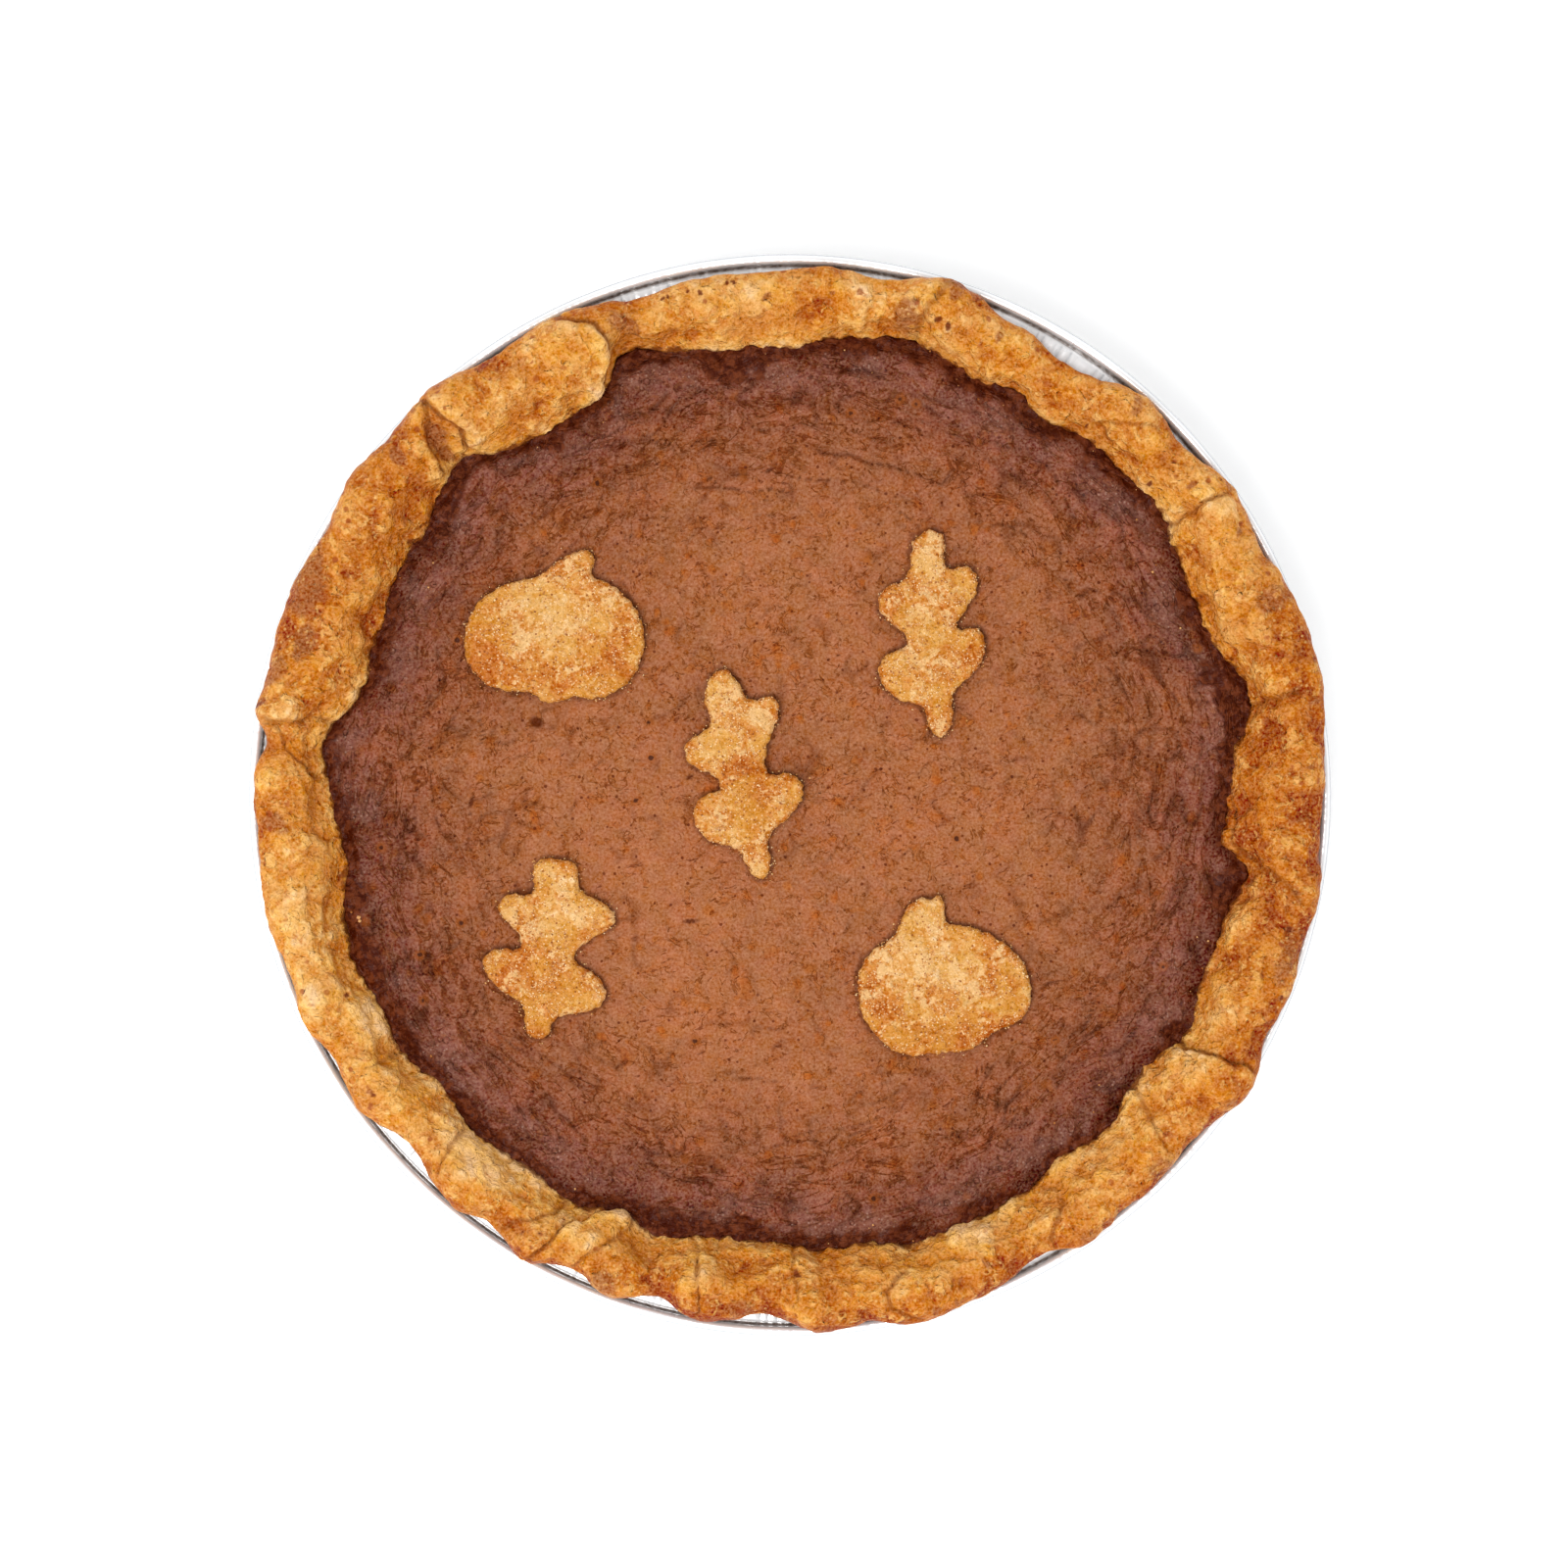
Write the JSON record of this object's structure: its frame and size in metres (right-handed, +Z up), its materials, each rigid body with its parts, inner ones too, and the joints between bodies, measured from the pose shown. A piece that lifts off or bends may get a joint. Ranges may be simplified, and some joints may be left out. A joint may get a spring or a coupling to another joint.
{
  "type": "pumpkin pie",
  "caption": "Whole baked pumpkin pie in a round foil tin, with a folded crust rim and pumpkin and leaf pastry cut-outs on the filling.",
  "frame": {"origin": "on the tin's axis, at the underside of its base", "axes": "+Z up through the filling; +Y towards the top of the pie as seen from above with the cut-outs' stems pointing up"},
  "size_m": [0.244, 0.244, 0.0414],
  "materials": {
    "foil": "bright crimped foil, lightly scuffed",
    "baked_crust": "baked pastry, golden with browner patches, dry to slightly oily",
    "pumpkin_filling": "baked spiced custard, softly glossy, darker at the rim",
    "sugared_pastry": "pale baked pastry under sugar and spice"
  },
  "bodies": {
    "root": {"foil_tin": "foil", "crust": "baked_crust", "filling": "pumpkin_filling", "pumpkin_cutout_left": "sugared_pastry", "pumpkin_cutout_right": "sugared_pastry", "leaf_cutout_upper": "sugared_pastry", "leaf_cutout_centre": "sugared_pastry", "leaf_cutout_lower": "sugared_pastry"}
  },
  "joints": []
}
